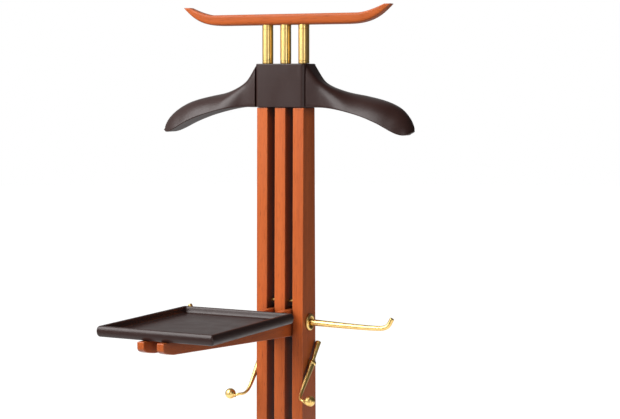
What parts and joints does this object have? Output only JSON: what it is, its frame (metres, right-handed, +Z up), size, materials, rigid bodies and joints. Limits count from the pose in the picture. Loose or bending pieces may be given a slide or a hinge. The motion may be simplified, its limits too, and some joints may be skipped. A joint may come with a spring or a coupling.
{
  "type": "valet stand",
  "caption": "Free-standing wooden valet stand with a moulded hanger, a curved top bar on brass rods, a shallow tray, and brass hooks on both sides.",
  "frame": {"origin": "centre of the whole outline seen from above, at floor level", "axes": "+Z up; the stand faces -Y, so its tray is on the -Y side; +X is to the viewer's right as the stand is faced"},
  "size_m": [0.462, 0.5986, 1.1778],
  "materials": {
    "mahogany": "glossy clear lacquer over red-brown wood",
    "dark_brown": "dark brown opaque satin lacquer",
    "brass": "polished",
    "steel": "zinc plated",
    "dowel": "bare beech",
    "rubber": "matt"
  },
  "bodies": {
    "stand": {"arm_pin_front": "brass", "arm_pin_rear": "brass", "brass_rod_left": "brass", "brass_rod_middle": "brass", "brass_rod_right": "brass", "cross_beam": "dark_brown", "dowel_lower_left": "dowel", "dowel_lower_right": "dowel", "dowel_upper_left": "dowel", "dowel_upper_right": "dowel", "foot_bolt_back_left": "brass", "foot_bolt_back_right": "brass", "foot_bolt_front_left": "brass", "foot_bolt_front_right": "brass", "glide_back_left": "rubber", "glide_back_right": "rubber", "glide_front_left": "rubber", "glide_front_right": "rubber", "hanger_block": "dark_brown", "long_hook_left": "brass", "long_hook_right": "brass", "pivot_pin_left": "brass", "pivot_pin_right": "brass", "pivot_washer_left": "brass", "pivot_washer_right": "brass", "rod_stud_left": "steel", "rod_stud_middle": "steel", "rod_stud_right": "steel", "rosette_left": "brass", "rosette_right": "brass", "runner_foot_left": "mahogany", "runner_foot_right": "mahogany", "shoulder_left": "dark_brown", "shoulder_right": "dark_brown", "slat_left": "mahogany", "slat_middle": "mahogany", "slat_right": "mahogany", "slat_screw_left": "steel", "slat_screw_middle": "steel", "slat_screw_right": "steel", "tie_rod_lower": "brass", "tie_rod_upper": "brass", "top_bar": "mahogany", "tray": "dark_brown", "tray_arm_left": "mahogany", "tray_arm_right": "mahogany", "tray_screw_back_left": "steel", "tray_screw_back_right": "steel", "tray_screw_front_left": "steel", "tray_screw_front_right": "steel"},
    "right_hook": {"swing_hook_right": "brass", "hook_ball_right": "brass"},
    "left_hook": {"swing_hook_left": "brass", "hook_ball_left": "brass"}
  },
  "joints": [
    {"name": "right_hook_swing", "type": "hinge", "parent": "stand", "child": "right_hook", "pos_m": [0.049, 0.12125, 0.588], "axis": [1, 0, 0], "range_deg": [-45, 42]},
    {"name": "left_hook_swing", "type": "hinge", "parent": "stand", "child": "left_hook", "pos_m": [-0.049, 0.12125, 0.588], "axis": [1, 0, 0], "range_deg": [-45, 42]}
  ]
}
